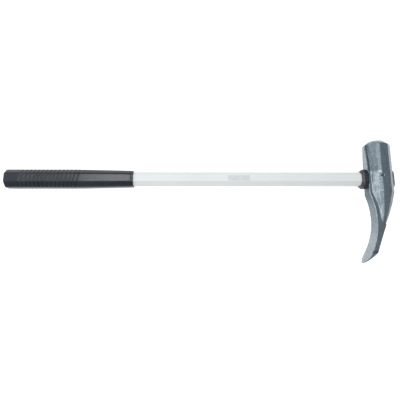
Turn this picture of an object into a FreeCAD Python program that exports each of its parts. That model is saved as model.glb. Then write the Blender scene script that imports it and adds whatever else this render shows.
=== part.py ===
import FreeCAD, Part
import os
import Sketcher
from FreeCAD import Vector, Placement, Rotation

# Long-handled tyre bead hammer with a curved wedge blade.
#
# Lying on its cheek: +X runs along the handle towards the head, +Y along the
# head towards the poll, +Z up.  The origin is on the floor straight below the
# point where the handle axis meets the head axis.

DOC = FreeCAD.newDocument("bead_hammer")

# ---------------------------------------------------------------- dimensions
DIMS = [
    ("axis_height", 23.75),
    # head: straight upper part, seen along the head
    ("head_in_x", 23.0),
    ("head_out_x", 26.0),
    ("poll_top", 77.0),
    ("eye_low", -28.0),
    ("flange_deep", 8.0),
    ("flange_half_end", 2.4),
    ("flange_half_neck", 9.4),
    ("flange_half_eye", 12.0),
    ("facet_x", -8.8),
    ("facet_z", 21.2),
    ("cheek_in_x", -2.0),
    ("cheek_out_x", 13.4),
    ("cheek_z", 23.75),
    ("poll_in_x", -17.5),
    ("poll_in_z", 5.7),
    ("back_half", 9.6),
    ("face_r", 15.0),
    ("face_drop", 1.2),
    ("crown_x", 1.6),
    ("bevel_r", 30.0),
    ("bevel_y", 63.0),
    # head: blade arc in side view and flare in front view
    ("blade_arc_r", 135.0),
    ("blade_arc_y", -79.0),
    ("blade_arc_x", -14.2),
    ("blade_tip_y", -162.5),
    ("blade_edge", 2.0),
    ("heel_x", -19.9),
    ("heel_y", -144.0),
    ("back_x", 3.1),
    ("back_y", -91.0),
    ("plate_mid_x", -6.0),
    ("plate_low_x", -3.0),
    ("plate_wide", 60.0),
    ("flange_end_y", 95.0),
    ("flange_neck_y", 25.0),
    ("trim_top", 120.0),
    ("trim_low", -190.0),
    ("trim_half", 60.0),
    ("bevel_spare", 5.0),
    ("flare_start", -58.0),
    ("flare_r", 686.0),
    ("bill_y", -145.4),
    # eye through the head
    ("eye_tall", 26.0),
    ("eye_deep", 18.4),
    ("resin_sunk", 0.4),
    # fibreglass core
    ("core_tall", 22.0),
    ("core_deep", 14.0),
    ("core_start", -716.0),
    ("core_end", 24.6),
    # jacket
    ("jacket_tall", 26.0),
    ("jacket_deep", 25.0),
    ("jacket_corner", 6.9),
    ("jacket_start", -718.0),
    ("jacket_end", -25.2),
    ("fit", 0.05),
    # grip
    ("grip_butt", -726.6),
    ("grip_waist", -590.0),
    ("grip_end", -480.2),
    ("grip_tall_butt", 36.0),
    ("grip_tall_end", 31.6),
    ("grip_deep_less", 1.6),
    ("grip_corner", 9.6),
    ("grip_long_round", 6.0),
    ("grip_butt_round", 3.0),
    ("groove_first", -694.0),
    ("groove_pitch", 7.8),
    ("groove_wide", 2.6),
    ("groove_deep", 0.8),
    ("groove_lean", 14.0),
    ("slab_half", 40.0),
    ("grip_bore_spare", 0.3),
    # collar
    ("collar_lip", -37.4),
    ("collar_shoulder", -32.0),
    ("collar_end", -23.3),
    ("collar_tall", 37.0),
    ("collar_deep", 31.0),
    ("collar_corner", 9.0),
    ("collar_lip_wall", 0.9),
    ("collar_side_round", 4.0),
    # eye fittings
    ("cap_tall", 37.0),
    ("cap_deep", 19.0),
    ("cap_high", 3.6),
    ("cap_round", 2.2),
    ("pin_d", 5.0),
    ("pin_x", -1.0),
    ("pin_y", 3.0),
    ("pin_sunk", 0.6),
    # blank label on the shaft
    ("label_start", -297.0),
    ("label_long", 42.0),
    ("label_tall", 10.0),
    ("label_thick", 0.15),
    ("label_gap", 0.02),
]

# Tapered lower body: station y, then x and z of the five edges on one side.
# The cheek's edges have the same x at the first station as at the poll, so
# that the cheek between them is a true plane.
TAPER = [
    ("a", -28.0, (-18.6, 9.5), (-8.8, 21.2), (-2.0, 23.75), (13.4, 23.75), (26.0, 9.6)),
    ("b", -50.5, (-10.4, 8.8), (-5.6, 16.4), (-0.9, 18.7), (10.2, 18.7), (20.2, 8.4)),
    ("c", -71.0, (-8.4, 8.6), (-4.9, 13.4), (-0.9, 15.0), (6.0, 15.0), (12.5, 8.4)),
    ("d", -91.0, (-8.0, 8.4), (-6.0, 11.2), (-4.2, 12.0), (0.4, 12.0), (3.2, 8.6)),
    ("e", -106.0, (-12.0, 7.4), (-10.0, 9.0), (-9.0, 9.6), (-6.8, 9.6), (-4.8, 7.4)),
]

SHEET = DOC.addObject("Spreadsheet::Sheet", "dims")


def fill_sheet():
    row = 1
    table = list(DIMS)
    for name, y, *pts in TAPER:
        table.append((f"st_{name}_pos", y))
        for k, (x, z) in enumerate(pts, 1):
            table.append((f"st_{name}_x_{k}", x))
            table.append((f"st_{name}_z_{k}", z))
    for name, value in table:
        SHEET.set(f"A{row}", name)
        SHEET.set(f"B{row}", str(value))
        SHEET.setAlias(f"B{row}", name)
        row += 1
    DOC.recompute()


def dim(name):
    return float(SHEET.get(name))


def ref(text):
    """Turn words of an expression into references to the sheet."""
    out = ""
    word = ""
    for ch in text + " ":
        if ch.isalnum() or ch == "_":
            word += ch
            continue
        if word:
            is_name = word[0].isalpha() and word not in ("sin", "cos", "sqrt")
            out += f"dims.{word}" if is_name else word
            word = ""
        out += ch
    return out.strip()


# ------------------------------------------------------------------- helpers
def new_body(name):
    body = DOC.addObject("PartDesign::Body", name)
    body.Label = name
    body.setExpression("Placement.Base.z", ref("axis_height"))
    return body


def plane_of(body, role):
    for item in body.Origin.OriginFeatures:
        if item.Role == role:
            return item
    raise RuntimeError(f"no {role} in {body.Label}")


def new_sketch(body, name, role, offset="0"):
    sketch = body.newObject("Sketcher::SketchObject", name)
    sketch.AttachmentSupport = (plane_of(body, role), [""])
    sketch.MapMode = "FlatFace"
    sketch.setExpression("AttachmentOffset.Base.z", ref(offset))
    return sketch


def number(text):
    """Value of a dimension expression, for placing geometry before solving."""
    sheet_cell = SHEET
    sheet_cell.set("D1", "=" + text)
    DOC.recompute([sheet_cell])
    return float(sheet_cell.get("D1"))


def pin_point(sketch, geo, pos, x_text, y_text):
    for kind, text in (("DistanceX", x_text), ("DistanceY", y_text)):
        value = number(text)
        index = sketch.addConstraint(Sketcher.Constraint(kind, -1, 1, geo, pos, value))
        sketch.setExpression(f"Constraints[{index}]", ref(text))


def add_loop(sketch, points):
    """Closed loop of straight lines; each corner is tied to the sheet."""
    values = [(number(a), number(b)) for a, b in points]
    first = sketch.GeometryCount
    count = len(points)
    for i in range(count):
        a = Vector(*values[i], 0)
        b = Vector(*values[(i + 1) % count], 0)
        sketch.addGeometry(Part.LineSegment(a, b), False)
    for i in range(count):
        nxt = first + (i + 1) % count
        sketch.addConstraint(Sketcher.Constraint("Coincident", first + i, 2, nxt, 1))
    for i, (a, b) in enumerate(points):
        pin_point(sketch, first + i, 1, a, b)


def mirrored(points):
    """Half outline (x, z with z > 0) completed by its mirror image."""
    return points + [(x, f"-({z})") for x, z in reversed(points)]


def octagon(tall, deep, corner):
    """Corners of a box section with 45 degree corners, first axis is tall."""
    hy, hz = f"({tall})/2", f"({deep})/2"
    c = f"({corner})"
    return [
        (f"-{hy}", f"-({hz}-{c})"), (f"-({hy}-{c})", f"-{hz}"),
        (f"{hy}-{c}", f"-{hz}"), (f"{hy}", f"-({hz}-{c})"),
        (f"{hy}", f"{hz}-{c}"), (f"{hy}-{c}", f"{hz}"),
        (f"-({hy}-{c})", f"{hz}"), (f"-{hy}", f"{hz}-{c}"),
    ]


def add_oval(sketch, tall, deep):
    """Round-ended slot, long way along the first axis."""
    t, d = number(tall), number(deep)
    half = (t - d) / 2
    r = d / 2
    quarter = 3.141592653589793 / 2
    circle_a = Part.Circle(Vector(half, 0, 0), Vector(0, 0, 1), r)
    circle_b = Part.Circle(Vector(-half, 0, 0), Vector(0, 0, 1), r)
    g = sketch.GeometryCount
    sketch.addGeometry(Part.ArcOfCircle(circle_a, -quarter, quarter), False)
    sketch.addGeometry(Part.LineSegment(Vector(half, r, 0), Vector(-half, r, 0)), False)
    sketch.addGeometry(Part.ArcOfCircle(circle_b, quarter, 3 * quarter), False)
    sketch.addGeometry(Part.LineSegment(Vector(-half, -r, 0), Vector(half, -r, 0)), False)
    for one, two in ((g, g + 1), (g + 1, g + 2)):
        sketch.addConstraint(Sketcher.Constraint("Tangent", one, 2, two, 1))
    sketch.addConstraint(Sketcher.Constraint("Tangent", g + 2, 2, g + 3, 1))
    sketch.addConstraint(Sketcher.Constraint("Tangent", g + 3, 2, g, 1))
    pin_point(sketch, g, 3, f"({tall}-{deep})/2", "0")
    pin_point(sketch, g + 2, 3, f"-({tall}-{deep})/2", "0")
    index = sketch.addConstraint(Sketcher.Constraint("Radius", g, r))
    sketch.setExpression(f"Constraints[{index}]", ref(f"({deep})/2"))


def pad(body, name, sketch, length, midplane=False):
    feature = body.newObject("PartDesign::Pad", name)
    feature.Profile = sketch
    feature.setExpression("Length", ref(length))
    feature.Midplane = midplane
    sketch.Visibility = False
    return feature


def pocket_all(body, name, sketch):
    feature = body.newObject("PartDesign::Pocket", name)
    feature.Profile = sketch
    feature.Type = 1
    feature.Midplane = True
    sketch.Visibility = False
    return feature


def loft(body, name, sketches, ruled):
    feature = body.newObject("PartDesign::AdditiveLoft", name)
    feature.Profile = sketches[0]
    feature.Sections = sketches[1:]
    feature.Ruled = ruled
    for sketch in sketches:
        sketch.Visibility = False
    return feature


def edges_where(feature, test):
    found = []
    for i, edge in enumerate(feature.Shape.Edges, 1):
        if test(edge):
            found.append(f"Edge{i}")
    if not found:
        raise RuntimeError(f"no edges chosen on {feature.Label}")
    return found


def dress(body, kind, name, base, names, prop, size):
    feature = body.newObject(f"PartDesign::{kind}", name)
    feature.Base = (base, names)
    feature.setExpression(prop, ref(size))
    return feature


# ---------------------------------------------------------------------- head
def station_points(name):
    return [(f"st_{name}_x_{k}", f"st_{name}_z_{k}") for k in range(1, 6)]


def add_side_profile(sketch):
    """Head seen from its cheek: thin flange, hollow blade arc, straight back."""
    centre_x = "(blade_arc_x-blade_arc_r)"
    top_y = f"blade_arc_y+sqrt(blade_arc_r^2-(-head_in_x-{centre_x})^2)"
    tip_x = f"{centre_x}+sqrt(blade_arc_r^2-(blade_tip_y-blade_arc_y)^2)"
    line = [
        (tip_x, "blade_tip_y"),
        (f"{tip_x}+blade_edge", "blade_tip_y"),
        ("heel_x", "heel_y"),
        ("back_x", "back_y"),
        ("plate_low_x", "st_c_pos"),
        ("plate_mid_x", "st_b_pos"),
        ("-head_in_x+flange_deep", "eye_low"),
        ("-head_in_x+flange_deep", "poll_top"),
        ("-head_in_x", "poll_top"),
        ("-head_in_x", top_y),
    ]
    values = [(number(a), number(b)) for a, b in line]
    for one, two in zip(values, values[1:]):
        sketch.addGeometry(Part.LineSegment(Vector(*one, 0), Vector(*two, 0)), False)
    last = len(line) - 2
    for i in range(last):
        sketch.addConstraint(Sketcher.Constraint("Coincident", i, 2, i + 1, 1))
    for i, (a, b) in enumerate(line[:-1]):
        pin_point(sketch, i, 1, a, b)
    pin_point(sketch, last, 2, *line[-1])
    mid = Vector(dim("blade_arc_x"), dim("blade_arc_y"), 0)
    sketch.addGeometry(Part.Arc(Vector(*values[0], 0), mid, Vector(*values[-1], 0)), False)
    arc = last + 1
    ends = sorted((1, 2), key=lambda pos: sketch.getPoint(arc, pos).y)
    sketch.addConstraint(Sketcher.Constraint("Coincident", arc, ends[0], 0, 1))
    sketch.addConstraint(Sketcher.Constraint("Coincident", arc, ends[1], last, 2))
    index = sketch.addConstraint(Sketcher.Constraint("Radius", arc, dim("blade_arc_r")))
    sketch.setExpression(f"Constraints[{index}]", ref("blade_arc_r"))


def add_front_outline(sketch):
    """Half width of the flange and blade: straight, then flared, round end."""
    span = "sqrt((flare_start-bill_y)^2+(flange_half_eye+flare_r)^2)"
    touch_y = f"flare_start+(bill_y-flare_start)*flare_r/{span}"
    touch_z = f"(flange_half_eye+flare_r)*(1-flare_r/{span})"
    tip = f"bill_y-({span}-flare_r)"
    line = [
        ("flange_end_y", "flange_half_end"),
        ("flange_neck_y", "flange_half_neck"),
        ("flare_start", "flange_half_eye"),
    ]
    values = [(number(a), number(b)) for a, b in line]
    ty, tz = number(touch_y), number(touch_z)
    tip_y = number(tip)
    start_y, start_z = values[-1]
    r = dim("flare_r")
    turn = (ty - start_y) / r / 2
    mid_y = start_y + r * turn
    mid_z = start_z + r - (r * r - (r * turn) ** 2) ** 0.5
    outline = []
    for sign in (1, -1):
        side = [Vector(y, sign * z, 0) for y, z in values]
        flare = Part.Arc(side[-1], Vector(mid_y, sign * mid_z, 0), Vector(ty, sign * tz, 0))
        outline.append((side, flare))
    for side, flare in outline:
        sketch.addGeometry(Part.LineSegment(side[0], side[1]), False)
        sketch.addGeometry(Part.LineSegment(side[1], side[2]), False)
        sketch.addGeometry(flare, False)
    sketch.addGeometry(Part.Arc(Vector(ty, tz, 0), Vector(tip_y, 0, 0), Vector(ty, -tz, 0)), False)
    sketch.addGeometry(Part.LineSegment(outline[0][0][0], outline[1][0][0]), False)
    for base, sign in ((0, ""), (3, "-")):
        sketch.addConstraint(Sketcher.Constraint("Coincident", base, 2, base + 1, 1))
        near = near_end(sketch, base + 2, start_y)
        sketch.addConstraint(Sketcher.Constraint("Coincident", base + 1, 2, base + 2, near))
        pin_point(sketch, base, 1, line[0][0], f"{sign}{line[0][1]}")
        pin_point(sketch, base + 1, 1, line[1][0], f"{sign}{line[1][1]}")
        pin_point(sketch, base + 1, 2, line[2][0], f"{sign}{line[2][1]}")
        pin_point(sketch, base + 2, 3 - near, touch_y, f"{sign}({touch_z})")
        index = sketch.addConstraint(Sketcher.Constraint("Radius", base + 2, r))
        sketch.setExpression(f"Constraints[{index}]", ref("flare_r"))
    for base in (0, 3):
        far = 3 - near_end(sketch, base + 2, start_y)
        end = 1 if sketch.getPoint(6, 1).y * (1 if base == 0 else -1) > 0 else 2
        sketch.addConstraint(Sketcher.Constraint("Coincident", base + 2, far, 6, end))
    index = sketch.addConstraint(Sketcher.Constraint("DistanceX", -1, 1, 6, 3, dim("bill_y")))
    sketch.setExpression(f"Constraints[{index}]", ref("bill_y"))
    sketch.addConstraint(Sketcher.Constraint("Coincident", 7, 1, 0, 1))
    sketch.addConstraint(Sketcher.Constraint("Coincident", 7, 2, 3, 1))
    add_loop(sketch, [
        ("trim_top", "-trim_half"), ("trim_top", "trim_half"),
        ("trim_low", "trim_half"), ("trim_low", "-trim_half"),
    ])


def near_end(sketch, geo, along):
    """Which end of an arc has its first coordinate at the given value."""
    gap_one = abs(sketch.getPoint(geo, 1).x - along)
    gap_two = abs(sketch.getPoint(geo, 2).x - along)
    return 1 if gap_one < gap_two else 2


def build_head():
    body = new_body("forged_head")
    side = new_sketch(body, "head_side", "XY_Plane")
    add_side_profile(side)
    pad(body, "head_plate", side, "plate_wide", midplane=True)
    front = new_sketch(body, "head_front", "YZ_Plane")
    add_front_outline(front)
    pocket_all(body, "head_trim", front)

    top = new_sketch(body, "poll_section", "XZ_Plane", "-poll_top")
    top_points = [
        ("poll_in_x", "poll_in_z"), ("facet_x", "facet_z"), ("cheek_in_x", "cheek_z"),
        ("cheek_out_x", "cheek_z"), ("head_out_x", "back_half"),
    ]
    add_loop(top, mirrored(top_points))
    sections = []
    for name, *_ in TAPER:
        sketch = new_sketch(body, f"taper_{name}", "XZ_Plane", f"-st_{name}_pos")
        add_loop(sketch, mirrored(station_points(name)))
        sections.append(sketch)
    loft(body, "head_upper", [top, sections[0]], True)
    loft(body, "head_lower", sections, True)

    eye = new_sketch(body, "eye_outline", "YZ_Plane")
    add_oval(eye, "eye_tall", "eye_deep")
    pocket_all(body, "eye", eye)

    turn = new_sketch(body, "poll_turning", "XY_Plane")
    add_loop(turn, [
        ("crown_x", "poll_top"), ("crown_x+face_r", "poll_top-face_drop"),
        ("crown_x+bevel_r", "bevel_y"), ("crown_x+bevel_r", "poll_top+bevel_spare"),
        ("crown_x", "poll_top+bevel_spare"),
    ])
    centre = turn.GeometryCount
    low, high = Vector(dim("crown_x"), 0, 0), Vector(dim("crown_x"), dim("poll_top"), 0)
    turn.addGeometry(Part.LineSegment(low, high), True)
    pin_point(turn, centre, 1, "crown_x", "0")
    pin_point(turn, centre, 2, "crown_x", "poll_top")
    groove = body.newObject("PartDesign::Groove", "poll_bevel")
    groove.Profile = turn
    groove.ReferenceAxis = (turn, ["Axis0"])
    groove.Angle = 360
    turn.Visibility = False
    drill_pin(body, "head_pin_hole")
    return body


def drill_pin(body, name):
    sketch = new_sketch(body, f"{name}_outline", "XY_Plane")
    circle = Part.Circle(Vector(dim("pin_x"), dim("pin_y"), 0), Vector(0, 0, 1), dim("pin_d") / 2)
    sketch.addGeometry(circle, False)
    pin_point(sketch, 0, 3, "pin_x", "pin_y")
    index = sketch.addConstraint(Sketcher.Constraint("Radius", 0, dim("pin_d") / 2))
    sketch.setExpression(f"Constraints[{index}]", ref("pin_d/2+fit"))
    pocket_all(body, name, sketch)


# -------------------------------------------------------------------- handle
def bar(name, start, end, outer, inner=None):
    """Straight piece along the handle; outer and inner add loops to a sketch."""
    body = new_body(name)
    sketch = new_sketch(body, f"{name}_section", "YZ_Plane", start)
    outer(sketch)
    if inner:
        inner(sketch)
    pad(body, f"{name}_pad", sketch, f"({end})-({start})")
    return body


def core_loop(extra):
    return lambda s: add_oval(s, f"(core_tall+{extra})", f"(core_deep+{extra})")


def jacket_loop(extra):
    return lambda s: add_loop(
        s, octagon(f"jacket_tall+{extra}", f"jacket_deep+{extra}", "jacket_corner"))


def build_handle():
    core = bar("handle_core", "core_start", "core_end", core_loop("0"))
    drill_pin(core, "core_pin_hole")
    bar("handle_jacket", "jacket_start", "jacket_end", jacket_loop("0"), core_loop("2*fit"))
    bar("eye_seal_washer", "jacket_end+fit", "-head_in_x-fit", jacket_loop("0"),
        core_loop("2*fit"))
    resin = bar("eye_resin", "-head_in_x", "head_out_x-resin_sunk",
                lambda s: add_oval(s, "(eye_tall-2*fit)", "(eye_deep-2*fit)"),
                core_loop("2*fit"))
    drill_pin(resin, "resin_pin_hole")


# ---------------------------------------------------------------------- grip
GROOVES = 15
# A 45 degree corner gets smaller by this much for each unit its sides move in.
CORNER_SHRINK = 2 - 2 ** 0.5
# Edges longer than this share of the tapered length are the sleeve's long edges.
LONG_EDGE_SHARE = 0.9


def grip_form(name, inset):
    """Eight-sided bar: straight over the ribs, then narrowing towards the head."""
    body = new_body(name)
    size = f"grip_tall_butt-2*{inset}"
    deep = f"grip_tall_butt-grip_deep_less-2*{inset}"
    outline = octagon(size, deep, f"grip_corner-{CORNER_SHRINK:.3f}*{inset}")
    straight = new_sketch(body, f"{name}_straight_section", "YZ_Plane", "grip_butt")
    add_loop(straight, outline)
    pad(body, f"{name}_straight", straight, "grip_waist-grip_butt")
    narrow = new_sketch(body, f"{name}_narrow_section", "YZ_Plane", "grip_waist")
    add_loop(narrow, outline)
    feature = pad(body, f"{name}_narrow", narrow, "grip_end-grip_waist")
    slope = "(grip_tall_butt-grip_tall_end)/2/(grip_end-grip_waist)"
    feature.setExpression("TaperAngle", f"-atan({ref(slope)})")
    return body, feature


def build_blank():
    """Closed sleeve before its ribs are cut: rounded, domed and bored."""
    blank, outer = grip_form("grip_blank", "0")
    DOC.recompute()
    shortest = (dim("grip_end") - dim("grip_waist")) * LONG_EDGE_SHARE

    def is_long(edge):
        return edge.BoundBox.XLength > shortest
    rounded = dress(blank, "Fillet", "grip_long_edges", outer, edges_where(outer, is_long),
                    "Radius", "grip_long_round")
    DOC.recompute()
    butt_x = dim("grip_butt")

    def at_butt(edge):
        return edge.BoundBox.XMax < butt_x + 0.05
    dress(blank, "Fillet", "grip_butt_dome", rounded, edges_where(rounded, at_butt),
          "Radius", "grip_butt_round")
    bore = new_sketch(blank, "grip_bore_outline", "YZ_Plane", "grip_end")
    jacket_loop("2*fit")(bore)
    pocket = blank.newObject("PartDesign::Pocket", "grip_bore")
    pocket.Profile = bore
    pocket.setExpression("Length", ref("grip_end-jacket_start+grip_bore_spare"))
    bore.Visibility = False
    return blank


def groove_slab(i):
    """Leaning slab whose ring-shaped overlap with the sleeve becomes one groove."""
    slab = DOC.addObject("Part::Box", f"groove_slab_{i + 1}")
    slab.setExpression("Length", ref("groove_wide"))
    slab.setExpression("Width", ref("2*slab_half"))
    slab.setExpression("Height", ref("2*slab_half"))
    lean = dim("groove_lean")
    slab.Placement = Placement(Vector(0, 0, 0), Rotation(Vector(0, 0, 1), -lean))
    reach = "groove_wide/2+slab_half*sin(groove_lean)"
    slab.setExpression("Placement.Base.x", ref(f"groove_first+{i}*groove_pitch-({reach})"))
    slab.setExpression("Placement.Base.y", ref("-slab_half*cos(groove_lean)"))
    slab.setExpression("Placement.Base.z", ref("axis_height-slab_half"))
    return slab


def build_grip():
    blank = build_blank()
    root, _ = grip_form("grip_root", "groove_deep")
    fuse = DOC.addObject("Part::MultiFuse", "groove_slabs")
    fuse.Shapes = [groove_slab(i) for i in range(GROOVES)]
    rings = DOC.addObject("Part::Cut", "groove_rings")
    rings.Base = fuse
    rings.Tool = root
    grip = DOC.addObject("Part::Cut", "grip_sleeve")
    grip.Base = blank
    grip.Tool = rings
    grip.Label = "grip_sleeve"
    return grip


# -------------------------------------------------------------------- collar
def build_collar():
    body = new_body("overstrike_collar")
    wall = "2*collar_lip_wall"
    lip = new_sketch(body, "collar_lip_section", "YZ_Plane", "collar_lip")
    add_loop(lip, octagon(f"jacket_tall+{wall}", f"jacket_deep+{wall}", "jacket_corner"))
    shoulder = new_sketch(body, "collar_shoulder_section", "YZ_Plane", "collar_shoulder")
    add_loop(shoulder, octagon("collar_tall", "collar_deep", "collar_corner"))
    loft(body, "collar_flare", [lip, shoulder], True)
    block = new_sketch(body, "collar_block_section", "YZ_Plane", "collar_shoulder")
    add_loop(block, octagon("collar_tall", "collar_deep", "collar_corner"))
    feature = pad(body, "collar_block", block, "collar_end-collar_shoulder")
    DOC.recompute()
    start, end = dim("collar_shoulder"), dim("collar_end")
    half_long = (end - start) / 2

    def is_side(edge):
        box = edge.BoundBox
        return box.XMin > start - 0.01 and box.XMax < end + 0.01 and box.XLength > half_long
    dress(body, "Fillet", "collar_round", feature, edges_where(feature, is_side),
          "Radius", "collar_side_round")
    hole = new_sketch(body, "collar_bore_outline", "YZ_Plane")
    jacket_loop("2*fit")(hole)
    pocket_all(body, "collar_bore", hole)


# --------------------------------------------------------------- small pieces
def build_small():
    cap = bar("eye_end_cap", "head_out_x+fit", "head_out_x+cap_high",
              lambda s: add_oval(s, "cap_tall", "cap_deep"))
    DOC.recompute()
    top_x = dim("head_out_x") + dim("cap_high")
    base = cap.Tip

    def outer_rim(edge):
        return edge.BoundBox.XMin > top_x - 0.01
    dress(cap, "Fillet", "cap_dome", base, edges_where(base, outer_rim), "Radius", "cap_round")

    pin = DOC.addObject("Part::Cylinder", "retaining_pin")
    pin.Label = "retaining_pin"
    pin.setExpression("Radius", ref("pin_d/2"))
    pin.setExpression("Height", ref("2*(cheek_z-pin_sunk)"))
    pin.setExpression("Placement.Base.x", ref("pin_x"))
    pin.setExpression("Placement.Base.y", ref("pin_y"))
    pin.setExpression("Placement.Base.z", ref("axis_height-cheek_z+pin_sunk"))

    label = DOC.addObject("Part::Box", "shaft_label")
    label.Label = "shaft_label"
    label.setExpression("Length", ref("label_long"))
    label.setExpression("Width", ref("label_tall"))
    label.setExpression("Height", ref("label_thick"))
    label.setExpression("Placement.Base.x", ref("label_start"))
    label.setExpression("Placement.Base.y", ref("-label_tall/2"))
    label.setExpression("Placement.Base.z", ref("axis_height+jacket_deep/2+label_gap"))


# ---------------------------------------------------------------------- main
NODES = [
    "forged_head", "handle_core", "handle_jacket", "eye_seal_washer", "eye_resin",
    "eye_end_cap", "retaining_pin", "overstrike_collar", "grip_sleeve", "shaft_label",
]


def check_all():
    for item in DOC.Objects:
        bad = [word for word in item.State if word in ("Invalid", "Error")]
        if bad:
            raise RuntimeError(f"{item.Label}: {bad}")
        shape = getattr(item, "Shape", None)
        if shape is not None and not shape.isNull() and not shape.isValid():
            raise RuntimeError(f"{item.Label}: shape is not valid")


def check_cheeks():
    """The two cheeks are flat faces that the tool lies on and is measured from."""
    flat = [
        face for face in DOC.forged_head.Shape.Faces
        if face.Surface.TypeId == "Part::GeomPlane"
        and abs(face.normalAt(0, 0).z) > 0.9999
        and abs(abs(face.CenterOfMass.z - dim("axis_height")) - dim("cheek_z")) < 0.001
    ]
    if len(flat) != 2:
        raise RuntimeError(f"{len(flat)} flat cheeks, not 2")
    for face in flat:
        centre = face.CenterOfMass
        print(f"cheek area {face.Area:.1f} centre {centre.x:.2f} {centre.y:.2f} {centre.z:.2f}")


def export_nodes():
    os.makedirs("parts", exist_ok=True)
    for name in NODES:
        item = DOC.getObject(name)
        if item.Shape.isNull() or not item.Shape.Solids:
            raise RuntimeError(f"{name} has no solid")
        item.Shape.exportStep(f"parts/{name}.step")
        box = item.Shape.BoundBox
        print(f"{name:18s} volume {item.Shape.Volume:12.1f}  solids {len(item.Shape.Solids)}"
              f"  x {box.XMin:.1f}..{box.XMax:.1f}  y {box.YMin:.1f}..{box.YMax:.1f}"
              f"  z {box.ZMin:.1f}..{box.ZMax:.1f}")


fill_sheet()
build_head()
build_handle()
build_grip()
build_collar()
build_small()
DOC.recompute()
check_all()
check_cheeks()
export_nodes()
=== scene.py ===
import math

import bpy
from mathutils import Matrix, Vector
from mathutils import noise as mathutils_noise


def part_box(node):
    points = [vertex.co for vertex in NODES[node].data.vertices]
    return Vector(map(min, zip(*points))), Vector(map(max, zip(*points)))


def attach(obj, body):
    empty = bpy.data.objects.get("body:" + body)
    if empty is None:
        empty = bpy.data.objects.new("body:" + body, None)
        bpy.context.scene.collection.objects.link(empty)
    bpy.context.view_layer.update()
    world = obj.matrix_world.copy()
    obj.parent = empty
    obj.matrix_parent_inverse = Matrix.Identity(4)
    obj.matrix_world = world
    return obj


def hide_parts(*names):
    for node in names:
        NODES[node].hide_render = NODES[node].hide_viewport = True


bl_info = {
    "name": "Bead hammer",
    "version": (1, 0, 0),
    "blender": (4, 5, 0),
    "location": "3D View > Sidebar > Bead hammer",
    "description": "Builds the looks of a long-handled tyre bead hammer round its CAD frame",
    "category": "Object",
}

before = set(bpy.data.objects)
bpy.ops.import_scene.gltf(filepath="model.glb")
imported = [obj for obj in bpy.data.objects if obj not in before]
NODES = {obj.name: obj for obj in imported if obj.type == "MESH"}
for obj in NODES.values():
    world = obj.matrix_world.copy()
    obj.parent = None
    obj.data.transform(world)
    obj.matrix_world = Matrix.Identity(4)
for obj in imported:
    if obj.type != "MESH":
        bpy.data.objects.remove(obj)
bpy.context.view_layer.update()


# --------------------------------------------------------------------------
# Sizes and colours a user would change
# --------------------------------------------------------------------------
class HammerSteel(bpy.types.PropertyGroup):
    """Look and edge softness of the forged head."""

    base: bpy.props.FloatVectorProperty(
        name="Steel colour", description="Bluish grey of the forged and oiled steel",
        subtype="COLOR", size=3, min=0, max=1, default=(0.46, 0.52, 0.55))
    scale_colour: bpy.props.FloatVectorProperty(
        name="Scale colour", description="Dark forge scale left in the low places",
        subtype="COLOR", size=3, min=0, max=1, default=(0.33, 0.38, 0.405))
    voxel: bpy.props.FloatProperty(
        name="Mesh size", description="Voxel size used to soften the forging's edges",
        subtype="DISTANCE", unit="LENGTH", default=0.0008, min=0.0004, max=0.003)


class HammerHandle(bpy.types.PropertyGroup):
    """Look of the sheath, the grip and the collar."""

    jacket: bpy.props.FloatVectorProperty(
        name="Sheath colour", description="Off-white of the moulded sheath",
        subtype="COLOR", size=3, min=0, max=1, default=(0.838, 0.848, 0.822))
    grip: bpy.props.FloatVectorProperty(
        name="Grip colour", description="Charcoal of the moulded grip",
        subtype="COLOR", size=3, min=0, max=1, default=(0.020, 0.025, 0.033))
    collar: bpy.props.FloatVectorProperty(
        name="Collar colour", description="Black of the collar's rubber",
        subtype="COLOR", size=3, min=0, max=1, default=(0.054, 0.056, 0.064))
    rib_start: bpy.props.FloatProperty(
        name="First rib groove", description="From the butt to the first groove of the grip",
        subtype="DISTANCE", unit="LENGTH", default=0.0326, min=0.01, max=0.1)
    rib_pitch: bpy.props.FloatProperty(
        name="Rib pitch", description="From one groove of the grip to the next",
        subtype="DISTANCE", unit="LENGTH", default=0.0078, min=0.003, max=0.02)
    rib_lean: bpy.props.FloatProperty(
        name="Rib lean", description="How far the grip's grooves lean over",
        subtype="ANGLE", unit="ROTATION", default=math.radians(14.0))
    rib_count: bpy.props.IntProperty(
        name="Rib grooves", description="Number of grooves in the grip",
        default=15, min=1, max=40)
    soft_mesh: bpy.props.FloatProperty(
        name="Rubber mesh size", description="Voxel size of the grip's skin",
        subtype="DISTANCE", unit="LENGTH", default=0.00095, min=0.0006, max=0.003)
    collar_mesh: bpy.props.FloatProperty(
        name="Collar mesh size", description="Voxel size of the collar's skin",
        subtype="DISTANCE", unit="LENGTH", default=0.0005, min=0.0003, max=0.002)


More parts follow.
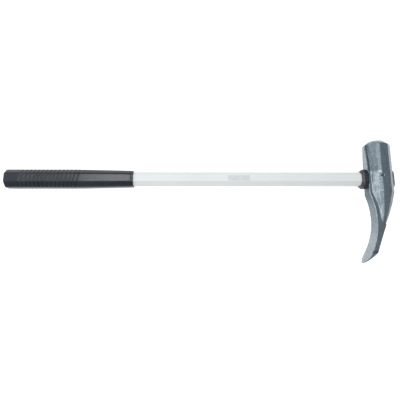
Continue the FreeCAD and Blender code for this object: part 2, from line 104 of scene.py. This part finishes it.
class HammerStage(bpy.types.PropertyGroup):
    """Floor, light and camera."""

    distance: bpy.props.FloatProperty(
        name="Camera distance", description="From the lens to the handle's axis",
        subtype="DISTANCE", unit="LENGTH", default=0.697, min=0.2, max=5)
    along: bpy.props.FloatProperty(
        name="Camera along handle", description="Place of the lens along X",
        subtype="DISTANCE", unit="LENGTH", default=-0.3609)
    lean: bpy.props.FloatProperty(
        name="Camera lean", description="How far the lens stands towards the blade's side",
        subtype="ANGLE", unit="ROTATION", default=math.radians(13.5))
    tilt: bpy.props.FloatProperty(
        name="Camera tilt", description="Turn of the lens about X",
        subtype="ANGLE", unit="ROTATION", default=math.radians(10.16))
    yaw: bpy.props.FloatProperty(
        name="Camera yaw", description="Turn of the lens about Y",
        subtype="ANGLE", unit="ROTATION", default=math.radians(0.81))
    roll: bpy.props.FloatProperty(
        name="Camera roll", description="Turn of the lens about its own axis",
        subtype="ANGLE", unit="ROTATION", default=math.radians(-0.145))
    lens: bpy.props.FloatProperty(
        name="Focal length", description="For a 36 mm sensor", default=31.9, min=10, max=200)
    floor_glow: bpy.props.FloatProperty(
        name="Light table", description="Glow of the floor, like a light table",
        default=1.0, min=0, max=2)
    key: bpy.props.FloatProperty(
        name="Key light", description="Power of the large soft box on the grip's side",
        subtype="POWER", unit="POWER", default=84.0, min=0)
    top: bpy.props.FloatProperty(
        name="Top light", description="Power of the soft box overhead",
        subtype="POWER", unit="POWER", default=42.0, min=0)
    front: bpy.props.FloatProperty(
        name="Front light", description="Power of the soft box on the blade's side",
        subtype="POWER", unit="POWER", default=0.3, min=0)


# --------------------------------------------------------------------------
# Material helpers
# --------------------------------------------------------------------------
def start_material(name, colour, rough, metal=0.0):
    """New material and its Principled shader."""
    mat = bpy.data.materials.new(name)
    mat.use_nodes = True
    mat.diffuse_color = (*colour, 1)
    nodes = mat.node_tree.nodes
    bsdf = nodes["Principled BSDF"]
    bsdf.inputs["Base Color"].default_value = (*colour, 1)
    bsdf.inputs["Roughness"].default_value = rough
    bsdf.inputs["Metallic"].default_value = metal
    return mat, bsdf


def add_node(mat, kind, **settings):
    """New shader node with the given settings."""
    node = mat.node_tree.nodes.new(kind)
    for key, value in settings.items():
        setattr(node, key, value)
    return node


def join(mat, source, out, target, into):
    mat.node_tree.links.new(source.outputs[out], target.inputs[into])


def object_pattern(mat, scale=(1, 1, 1)):
    """Object coordinates through a Mapping node."""
    coords = add_node(mat, "ShaderNodeTexCoord")
    mapping = add_node(mat, "ShaderNodeMapping")
    mapping.inputs["Scale"].default_value = scale
    join(mat, coords, "Object", mapping, "Vector")
    return mapping


def noise(mat, mapping, scale, detail=4.0, rough=0.55):
    node = add_node(mat, "ShaderNodeTexNoise")
    node.inputs["Scale"].default_value = scale
    node.inputs["Detail"].default_value = detail
    node.inputs["Roughness"].default_value = rough
    join(mat, mapping, "Vector", node, "Vector")
    return node


def ramp(mat, source, out, stops):
    node = add_node(mat, "ShaderNodeValToRGB")
    bar = node.color_ramp
    while len(bar.elements) < len(stops):
        bar.elements.new(0.5)
    for element, (place, colour) in zip(bar.elements, stops):
        element.position = place
        element.color = (*colour, 1) if len(colour) == 3 else colour
    join(mat, source, out, node, "Fac")
    return node


def grey(value):
    return (value, value, value)


def bump(mat, bsdf, source, out, strength, distance, before=None):
    """Relief on the shader; a later one is laid over the one before."""
    node = add_node(mat, "ShaderNodeBump")
    node.inputs["Strength"].default_value = strength
    node.inputs["Distance"].default_value = distance
    join(mat, source, out, node, "Height")
    if before:
        join(mat, before, "Normal", node, "Normal")
    join(mat, node, "Normal", bsdf, "Normal")
    return node


# --------------------------------------------------------------------------
# Materials
# --------------------------------------------------------------------------
def multiply(mat, first, out_a, second, out_b, amount=1.0):
    """Darken one colour by another; returns the mix node (colour on output 2)."""
    mix = add_node(mat, "ShaderNodeMix", data_type="RGBA", blend_type="MULTIPLY")
    mix.inputs["Factor"].default_value = amount
    join(mat, first, out_a, mix, 6)
    join(mat, second, out_b, mix, 7)
    return mix


def attribute(mat, name):
    node = add_node(mat, "ShaderNodeAttribute")
    node.attribute_name = name
    return node


def steel_material(props):
    """Oiled forging: bluish steel, drawn streaks, fine pits, dull scale and painted shade in zones.
    """
    mat, bsdf = start_material("forged_steel_oiled", props.base, 0.36, 0.95)
    even = object_pattern(mat)
    drawn = object_pattern(mat, scale=(1.0, 0.14, 1.0))
    mottle = noise(mat, even, 330.0, 5.0, 0.62)
    cloud = noise(mat, even, 34.0, 3.0)
    streak = noise(mat, drawn, 300.0, 5.0, 0.6)
    pits = noise(mat, even, 1100.0, 2.0)
    tone = ramp(mat, mottle, "Fac", [(0.34, props.scale_colour), (0.52, props.base),
                                     (0.72, [min(1, c * 1.08) for c in props.base])])
    tint = ramp(mat, streak, "Fac", [(0.34, grey(0.66)), (0.62, grey(1.0))])
    shade = ramp(mat, cloud, "Fac", [(0.30, grey(0.88)), (0.70, grey(1.0))])
    streaky = multiply(mat, tone, "Color", tint, "Color", 0.6)
    uneven = multiply(mat, streaky, 2, shade, "Color")
    # The 'scale' attribute darkens the steel zone by zone: partly dull scale, partly painted shade.
    scale = attribute(mat, "scale")
    dull = ramp(mat, scale, "Fac", [(0.0, grey(1.0)), (1.0, (0.33, 0.37, 0.40))])
    finished = multiply(mat, uneven, 2, dull, "Color")
    mat.node_tree.links.new(finished.outputs[2], bsdf.inputs["Base Color"])
    worn = ramp(mat, mottle, "Fac", [(0.3, grey(0.42)), (0.7, grey(0.32))])
    crust = ramp(mat, scale, "Fac", [(0.0, grey(0.0)), (1.0, grey(0.16))])
    rough = add_node(mat, "ShaderNodeMath", operation="ADD")
    join(mat, worn, "Color", rough, 0)
    join(mat, crust, "Color", rough, 1)
    join(mat, rough, 0, bsdf, "Roughness")
    first = bump(mat, bsdf, mottle, "Fac", 0.10, 0.0003)
    second = bump(mat, bsdf, streak, "Fac", 0.14, 0.0003, first)
    bump(mat, bsdf, pits, "Fac", 0.16, 0.0002, second)
    return mat


def jacket_material(props):
    """Off-white moulded sheath with a satin skin and faint drawn fibres."""
    mat, bsdf = start_material("moulded_sheath_white", props.jacket, 0.5)
    bsdf.inputs["Specular IOR Level"].default_value = 0.22
    along = object_pattern(mat, scale=(0.05, 1, 1))
    even = object_pattern(mat)
    fibre = noise(mat, along, 500.0, 3.0)
    cloud = noise(mat, even, 9.0, 3.0)
    tone = ramp(mat, cloud, "Fac", [(0.3, [c * 0.965 for c in props.jacket]), (0.7, props.jacket)])
    join(mat, tone, "Color", bsdf, "Base Color")
    rough = ramp(mat, fibre, "Fac", [(0.3, grey(0.58)), (0.7, grey(0.46))])
    join(mat, rough, "Color", bsdf, "Roughness")
    bump(mat, bsdf, fibre, "Fac", 0.08, 0.0003)
    return mat


def rubber_material(name, colour, rough, grain, relief=0.12, shine=0.5, groove_tone=None):
    """Moulded rubber or plastic: faint mottling, a fine grain and, when asked, painted shade in the
    grooves.
    """
    mat, bsdf = start_material(name, colour, rough)
    bsdf.inputs["Specular IOR Level"].default_value = shine
    even = object_pattern(mat)
    fine = noise(mat, even, grain, 3.0)
    cloud = noise(mat, even, 30.0, 3.0)
    tone = ramp(mat, cloud, "Fac", [(0.3, [c * 0.8 for c in colour]),
                                    (0.7, [c * 1.25 for c in colour])])
    if groove_tone is not None:
        # Painted shade in the grooves, from the 'groove' attribute.
        groove = attribute(mat, "groove")
        dusk = ramp(mat, groove, "Fac", [(0.0, grey(1.0)), (1.0, grey(groove_tone))])
        shaded = multiply(mat, tone, "Color", dusk, "Color")
        mat.node_tree.links.new(shaded.outputs[2], bsdf.inputs["Base Color"])
    else:
        join(mat, tone, "Color", bsdf, "Base Color")
    spread = ramp(mat, fine, "Fac", [(0.3, grey(rough + 0.06)), (0.7, grey(rough - 0.04))])
    join(mat, spread, "Color", bsdf, "Roughness")
    bump(mat, bsdf, fine, "Fac", relief, 0.0002)
    return mat


def label_material():
    """Plain film, a little greyer than the sheath and rubbed thin in places."""
    film = (0.72, 0.735, 0.72)
    mat, bsdf = start_material("label_film_plain", film, 0.5)
    even = object_pattern(mat)
    rubbed = noise(mat, even, 160.0, 3.0)
    fine = noise(mat, even, 900.0, 3.0)
    tone = ramp(mat, rubbed, "Fac", [(0.34, [c * 0.93 for c in film]), (0.66, film)])
    join(mat, tone, "Color", bsdf, "Base Color")
    bump(mat, bsdf, fine, "Fac", 0.05, 0.0001)
    return mat


def fibre_material():
    """Drawn glass-fibre rod: straw-coloured, streaked along its length."""
    colour = (0.55, 0.50, 0.34)
    mat, bsdf = start_material("fibre_rod", colour, 0.4)
    fibre = noise(mat, object_pattern(mat, scale=(0.03, 1, 1)), 900.0, 3.0)
    tone = ramp(mat, fibre, "Fac", [(0.3, [c * 0.75 for c in colour]), (0.7, colour)])
    join(mat, tone, "Color", bsdf, "Base Color")
    bump(mat, bsdf, fibre, "Fac", 0.15, 0.0002)
    return mat


def pin_material():
    """Dull steel pin, darker than the forging round it."""
    colour = (0.20, 0.22, 0.235)
    mat, bsdf = start_material("pin_steel_dull", colour, 0.5, 0.9)
    fine = noise(mat, object_pattern(mat), 1500.0, 3.0)
    rough = ramp(mat, fine, "Fac", [(0.3, grey(0.6)), (0.7, grey(0.42))])
    tone = ramp(mat, fine, "Fac", [(0.3, [c * 0.6 for c in colour]), (0.7, colour)])
    join(mat, tone, "Color", bsdf, "Base Color")
    join(mat, rough, "Color", bsdf, "Roughness")
    bump(mat, bsdf, fine, "Fac", 0.3, 0.0001)
    return mat


# --------------------------------------------------------------------------
# Mesh helpers
# --------------------------------------------------------------------------
def dress(obj, mat):
    """Gives a piece one material."""
    obj.data.materials.clear()
    obj.data.materials.append(mat)


def dress_node(name, mat):
    """Gives a CAD node that stays in view a new material."""
    for slot in NODES[name].material_slots:
        slot.material = mat
    if not NODES[name].material_slots:
        NODES[name].data.materials.append(mat)


def only(obj):
    """Selects one object and makes it active."""
    bpy.ops.object.select_all(action="DESELECT")
    obj.select_set(True)
    bpy.context.view_layer.objects.active = obj


def copy_of(node, name):
    """A merged copy of a CAD node's mesh, as an object of its own at the origin."""
    source = NODES[node]
    mesh = source.data.copy()
    mesh.name = name
    obj = bpy.data.objects.new(name, mesh)
    bpy.context.scene.collection.objects.link(obj)
    only(obj)
    bpy.ops.object.mode_set(mode="EDIT")
    bpy.ops.mesh.select_all(action="SELECT")
    bpy.ops.mesh.remove_doubles(threshold=1e-6)
    bpy.ops.mesh.normals_make_consistent(inside=False)
    bpy.ops.object.mode_set(mode="OBJECT")
    return obj


def apply_modifier(obj, kind, **settings):
    only(obj)
    mod = obj.modifiers.new(kind.lower(), kind)
    for key, value in settings.items():
        setattr(mod, key, value)
    bpy.ops.object.modifier_apply(modifier=mod.name)


def skin(obj, voxel):
    """Even mesh all over a piece, with its edges lightly softened."""
    apply_modifier(obj, "REMESH", mode="VOXEL", voxel_size=voxel)
    apply_modifier(obj, "SMOOTH", factor=0.5, iterations=2)


def settle(piece, mat, slot, *nodes):
    """Dresses a finished piece and says what it rides on; slot is not used."""
    dress(piece, mat)
    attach(piece, "root")
    if nodes:
        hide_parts(*nodes)


def soft_step(low, high, value):
    """0 up to low, 1 from high on, smooth between."""
    t = max(0.0, min(1.0, (value - low) / (high - low)))
    return t * t * (3 - 2 * t)


# --------------------------------------------------------------------------
# Operators
# --------------------------------------------------------------------------
# Soft ranges on the head. Those named for a place are in metres; the others
# compare one part of the surface's normal, from 0 to 1.
PLACE_ABOVE_EYE, PLACE_UNDER_BEVEL = (0.009, 0.016), (0.068, 0.074)
PLACE_EYE_TOP, PLACE_TAPER_END = (0.006, 0.014), (-0.105, -0.085)
PLACE_FLANGE = (-0.0165, -0.0135)
PLACE_HOLLOW, PLACE_OUTER = (-0.019, -0.012), (-0.030, -0.012)
PLACE_BLADE, PLACE_BY_COLLAR = (-0.150, -0.070), (-0.060, -0.034)
PLACE_TIP = (-0.1625, -0.1570)
PLACE_HEEL_START, PLACE_HEEL_END = (-0.1480, -0.1440), (-0.1415, -0.1375)
PLACE_OFF_MIDDLE = (0.007, 0.011)
TURNED_IN, TURNED_STEEPLY_IN, TURNED_FULLY_IN = (0.18, 0.30), (0.55, 0.66), (0.70, 0.88)

# How strongly each zone is darkened: partly dull forge scale, partly painted shade (flange, slope,
# strip, tip, cheek and outer).
COVER = {
    "panel": 0.88, "flange": 0.92, "slope": 0.80, "strip": 0.74, "tip": 0.55,
    "cheek": 0.40, "outer": 0.50, "everywhere": 0.27,
}
# Painted shade on the hollow face of the blade: least near the tip, more towards the eye, most where
# the collar shades it.
HOLLOW_LEAST, HOLLOW_BLADE, HOLLOW_BY_COLLAR = 0.10, 0.50, 0.30

# Pebbles on the panels: lumps per metre, how deep the panel is sunk and how
# high a lump stands, in metres, and how clean a lump's top is rubbed.
PEBBLE_SCALE, PEBBLE_SINK, PEBBLE_HIGH, PEBBLE_RUBBED = 330.0, 0.0003, 0.0005, 0.8


def above_eye(co):
    """1 along the straight part of the head above the eye, soft at both ends."""
    return soft_step(*PLACE_ABOVE_EYE, co.y) * (1 - soft_step(*PLACE_UNDER_BEVEL, co.y))


def panel_amount(co, normal, centre_z):
    """1 inside the two slanting panels above the eye, falling softly to 0 outside."""
    slanting = soft_step(0.50, 0.72, -normal.x) * soft_step(0.22, 0.36, abs(normal.z))
    return slanting * above_eye(co) * soft_step(*PLACE_OFF_MIDDLE, abs(co.z - centre_z))


def scale_amount(co, normal, panel):
    """How dark the steel is painted: 0 is bare, 1 is darkest; partly dull scale, partly painted
    shade.
    """
    inward, upward = -normal.x, abs(normal.z)
    upper = above_eye(co)
    below = (1 - soft_step(*PLACE_EYE_TOP, co.y)) * soft_step(*PLACE_TAPER_END, co.y)
    # The inward slope below the eye is left lighter than the rest of the head.
    clean = below * soft_step(*TURNED_STEEPLY_IN, inward) * soft_step(0.30, 0.45, upward)
    # Painted shade on the strip between the cheek and the slope below the eye.
    strip = soft_step(*TURNED_IN, inward) * (1 - soft_step(*TURNED_STEEPLY_IN, inward))
    strip *= soft_step(0.6, 0.8, upward)
    # Painted shade on the flange's side above the eye.
    flange = (1 - soft_step(*PLACE_FLANGE, co.x)) * soft_step(0.25, 0.45, upward)
    # Painted shade on the hollow face, strongest by the collar.
    hollow = soft_step(*TURNED_FULLY_IN, inward) * (1 - soft_step(*PLACE_HOLLOW, co.y))
    hollow *= (HOLLOW_LEAST + HOLLOW_BLADE * soft_step(*PLACE_BLADE, co.y)
               + HOLLOW_BY_COLLAR * soft_step(*PLACE_BY_COLLAR, co.y))
    # Painted shade on the rounded tip.
    tip = COVER["tip"] * (1 - soft_step(*PLACE_TIP, co.y))
    # Painted shade on the cheeks.
    cheek = COVER["cheek"] * soft_step(0.90, 0.98, upward)
    # Painted shade on the blade's outer faces.
    outer = COVER["outer"] * soft_step(0.25, 0.45, normal.x) * (1 - soft_step(*PLACE_OUTER, co.y))
    # Painted shadow at the heel of the blade.
    heel = soft_step(0.35, 0.60, upward) * soft_step(*PLACE_HEEL_START, co.y)
    heel *= 1 - soft_step(*PLACE_HEEL_END, co.y)
    # Painted shade on the slopes above the eye.
    slope = soft_step(*TURNED_IN, inward) * soft_step(0.25, 0.40, upward)
    marks = max(COVER["flange"] * upper * flange, COVER["slope"] * upper * slope,
                COVER["panel"] * panel, COVER["strip"] * below * strip,
                hollow, tip, heel, cheek, outer)
    return max(marks, COVER["everywhere"] * (1 - clean))


def work_surface(head):
    """Pebbles the panels and stores, per vertex, how dark the steel is painted, partly dull scale and
    partly painted shade.
    """
    low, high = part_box("forged_head")
    centre_z = (low[2] + high[2]) / 2
    layer = head.data.attributes.new("scale", "FLOAT", "POINT")
    for vertex, value in zip(head.data.vertices, layer.data):
        co, normal = vertex.co.copy(), vertex.normal.copy()
        panel = panel_amount(co, normal, centre_z)
        lump = mathutils_noise.noise(co * PEBBLE_SCALE)
        value.value = scale_amount(co, normal, panel) - PEBBLE_RUBBED * panel * max(0.0, lump)
        if panel > 0:
            vertex.co += normal * panel * (PEBBLE_HIGH * lump - PEBBLE_SINK)


class OBJECT_OT_hammer_head(bpy.types.Operator):
    """Forged head with softened edges and forge texture"""

    bl_idname = "object.hammer_head"
    bl_label = "Forged head"

    def execute(self, context):
        props = context.scene.hammer_steel
        head = copy_of("forged_head", "head_forging")
        skin(head, props.voxel)
        work_surface(head)
        only(head)
        bpy.ops.object.shade_smooth()
        settle(head, steel_material(props), "forged_steel", "forged_head")
        return {"FINISHED"}


class OBJECT_OT_hammer_handle(bpy.types.Operator):
    """Sheath, rod and label"""

    bl_idname = "object.hammer_handle"
    bl_label = "Handle"

    def execute(self, context):
        props = context.scene.hammer_handle
        dress_node("handle_jacket", jacket_material(props))
        dress_node("handle_core", fibre_material())
        dress_node("shaft_label", label_material())
        return {"FINISHED"}


# Grip: half widths over which a groove's shade fades, and the shallow neck
# pressed in behind the open end, which leaves a lip standing. All in metres.
GROOVE_FADE = (0.0008, 0.0022)
NECK_START, NECK_END, NECK_DEEP = (0.0016, 0.0024), (0.0034, 0.0046), 0.0003
RIM_FADE = (0.0, 0.0009)


def rib_grip(grip, props):
    """Paints shade into the grooves, the neck and the open rim, and presses a shallow neck in behind
    the rim.
    """
    low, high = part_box("grip_sleeve")
    first = low[0] + props.rib_start
    last = first + (props.rib_count - 1) * props.rib_pitch
    half_pitch = props.rib_pitch / 2
    lean = math.tan(props.rib_lean)
    # The 'groove' attribute is painted shade in the grooves, the neck and on the open rim.
    layer = grip.data.attributes.new("groove", "FLOAT", "POINT")
    for vertex, value in zip(grip.data.vertices, layer.data):
        co, normal = vertex.co.copy(), vertex.normal.copy()
        along = co.x - lean * co.y
        outside = 1.0 if abs(normal.x) < 0.7 else 0.0
        if first - half_pitch < along < last + half_pitch:
            off = abs((along - first + half_pitch) % props.rib_pitch - half_pitch)
            value.value = outside * (1 - soft_step(*GROOVE_FADE, off))
        to_end = high[0] - co.x
        neck = soft_step(*NECK_START, to_end) * (1 - soft_step(*NECK_END, to_end))
        value.value = max(value.value, 0.9 * neck, 1 - soft_step(*RIM_FADE, to_end))
        if neck > 0:
            vertex.co -= normal * NECK_DEEP * neck


class OBJECT_OT_hammer_grip(bpy.types.Operator):
    """Ribbed grip with a lip at its open end"""

    bl_idname = "object.hammer_grip"
    bl_label = "Grip"

    def execute(self, context):
        props = context.scene.hammer_handle
        grip = copy_of("grip_sleeve", "grip_ribbed")
        skin(grip, props.soft_mesh)
        rib_grip(grip, props)
        only(grip)
        bpy.ops.object.shade_smooth()
        rubber = rubber_material("moulded_grip_charcoal", props.grip, 0.27, 1400.0, 0.10, 0.36, 0.5)
        settle(grip, rubber, "grip_rubber", "grip_sleeve")
        return {"FINISHED"}


# Collar: from its lip to the barrel, rib pitch, half width over which a groove
# fades and its depth, all in metres.
BARREL_START, BARREL_SOFT, COLLAR_PITCH = 0.0054, 0.0015, 0.0037
COLLAR_GROOVE_FADE, COLLAR_GROOVE_DEEP = (0.0004, 0.0013), 0.0005


def rib_collar(collar):
    """Cuts shallow grooves along the collar's barrel, so that ribs stand between them, and paints
    shade into the grooves.
    """
    low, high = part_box("overstrike_collar")
    middle = (low[2] + high[2]) / 2
    barrel = low[0] + BARREL_START
    half_pitch = COLLAR_PITCH / 2
    # The 'groove' attribute is painted shade in the collar's grooves.
    layer = collar.data.attributes.new("groove", "FLOAT", "POINT")
    for vertex, value in zip(collar.data.vertices, layer.data):
        co, normal = vertex.co.copy(), vertex.normal.copy()
        radial = math.hypot(co.y, co.z - middle)
        facing_out = normal.y * co.y + normal.z * (co.z - middle) > 0.3 * radial
        on_barrel = soft_step(barrel, barrel + BARREL_SOFT, co.x)
        across = co.y if abs(normal.z) > abs(normal.y) else co.z - middle
        off = abs((across + half_pitch) % COLLAR_PITCH - half_pitch)
        cut = (1 - soft_step(*COLLAR_GROOVE_FADE, off)) * on_barrel if facing_out else 0.0
        value.value = cut
        vertex.co -= normal * COLLAR_GROOVE_DEEP * cut


class OBJECT_OT_hammer_collar(bpy.types.Operator):
    """Collar with moulded ribs, and the washer behind it"""

    bl_idname = "object.hammer_collar"
    bl_label = "Collar"

    def execute(self, context):
        props = context.scene.hammer_handle
        collar = copy_of("overstrike_collar", "collar_ribbed")
        skin(collar, props.collar_mesh)
        rib_collar(collar)
        only(collar)
        bpy.ops.object.shade_smooth()
        rubber = rubber_material("moulded_collar_black", props.collar, 0.44, 1200.0, 0.15, 0.34, 0.2)
        settle(collar, rubber, "black_rubber", "overstrike_collar")
        dress_node("eye_seal_washer", rubber_material("seal_washer_black", props.collar, 0.4, 1200.0))
        return {"FINISHED"}


class OBJECT_OT_hammer_eye(bpy.types.Operator):
    """End cap, resin and pin of the eye"""

    bl_idname = "object.hammer_eye"
    bl_label = "Eye fittings"

    def execute(self, context):
        dress_node("eye_end_cap", rubber_material("eye_cap_grey", (0.16, 0.17, 0.18), 0.35, 900.0))
        dress_node("eye_resin", rubber_material("eye_resin_dark", (0.05, 0.05, 0.05), 0.3, 500.0))
        dress_node("retaining_pin", pin_material())
        return {"FINISHED"}


FLOOR_SIZE, FLOOR_DROP = 8, 0.0003
SURROUND = (0.235, 0.272, 0.312, 1)
SENSOR_WIDTH = 36


class OBJECT_OT_hammer_stage(bpy.types.Operator):
    """Pale floor, soft light and camera"""

    bl_idname = "object.hammer_stage"
    bl_label = "Stage"

    def execute(self, context):
        props = context.scene.hammer_stage
        scene = context.scene
        scene.view_settings.view_transform = "Standard"
        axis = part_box("handle_jacket")
        axis_z = (axis[0][2] + axis[1][2]) / 2

        bpy.ops.mesh.primitive_plane_add(size=FLOOR_SIZE, location=(-0.36, 0, -FLOOR_DROP))
        floor = context.active_object
        floor.name = "light_table"
        mat, bsdf = start_material("light_table_white", (0.22, 0.22, 0.22), 0.9)
        bsdf.inputs["Emission Color"].default_value = (1, 1, 1, 1)
        bsdf.inputs["Emission Strength"].default_value = props.floor_glow
        dress(floor, mat)

        self.soft_box("key_box", props.key, (5.4, 3.3), (-3.65, 0.15, 2.14), (-0.05, 0, 0))
        self.soft_box("top_box", props.top, (0.56, 2.4), (-0.95, 0.30, 2.6), (-0.95, 0.1, 0))
        self.soft_box("front_box", props.front, (1.3, 0.5), (-0.36, -1.15, 1.25), (-0.36, 0, 0))

        world = bpy.data.worlds.new("studio")
        world.use_nodes = True
        background = world.node_tree.nodes["Background"]
        background.inputs["Color"].default_value = SURROUND
        background.inputs["Strength"].default_value = 1.0
        scene.world = world

        y = -props.distance * math.sin(props.lean)
        z = props.distance * math.cos(props.lean) + axis_z
        turn = (props.tilt, -props.yaw, props.roll)
        bpy.ops.object.camera_add(location=(props.along, y, z), rotation=turn)
        camera = context.active_object
        camera.data.lens = props.lens
        camera.data.sensor_width = SENSOR_WIDTH
        scene.camera = camera
        return {"FINISHED"}

    @staticmethod
    def soft_box(name, power, size, place, target):
        bpy.ops.object.light_add(type="AREA", location=place)
        light = bpy.context.active_object
        light.name = name
        light.data.energy = power
        light.data.shape = "RECTANGLE"
        light.data.size, light.data.size_y = size
        way = Vector(target) - Vector(place)
        light.rotation_euler = way.to_track_quat("-Z", "Y").to_euler()


class VIEW3D_PT_hammer(bpy.types.Panel):
    """Buttons and values of the bead hammer"""

    bl_label = "Bead hammer"
    bl_idname = "VIEW3D_PT_hammer"
    bl_space_type = "VIEW_3D"
    bl_region_type = "UI"
    bl_category = "Bead hammer"

    def draw(self, context):
        for operator in OPERATORS:
            self.layout.operator(operator.bl_idname)


OPERATORS = (
    OBJECT_OT_hammer_head, OBJECT_OT_hammer_handle, OBJECT_OT_hammer_grip,
    OBJECT_OT_hammer_collar, OBJECT_OT_hammer_eye, OBJECT_OT_hammer_stage,
)
GROUPS = (HammerSteel, HammerHandle, HammerStage)


def register():
    for item in GROUPS + OPERATORS + (VIEW3D_PT_hammer,):
        bpy.utils.register_class(item)
    bpy.types.Scene.hammer_steel = bpy.props.PointerProperty(type=HammerSteel)
    bpy.types.Scene.hammer_handle = bpy.props.PointerProperty(type=HammerHandle)
    bpy.types.Scene.hammer_stage = bpy.props.PointerProperty(type=HammerStage)


def unregister():
    del bpy.types.Scene.hammer_stage
    del bpy.types.Scene.hammer_handle
    del bpy.types.Scene.hammer_steel
    for item in reversed(GROUPS + OPERATORS + (VIEW3D_PT_hammer,)):
        bpy.utils.unregister_class(item)


def main():
    register()
    bpy.ops.object.hammer_head()
    bpy.ops.object.hammer_handle()
    bpy.ops.object.hammer_grip()
    bpy.ops.object.hammer_collar()
    bpy.ops.object.hammer_eye()
    bpy.ops.object.hammer_stage()


if __name__ == "__main__":
    main()
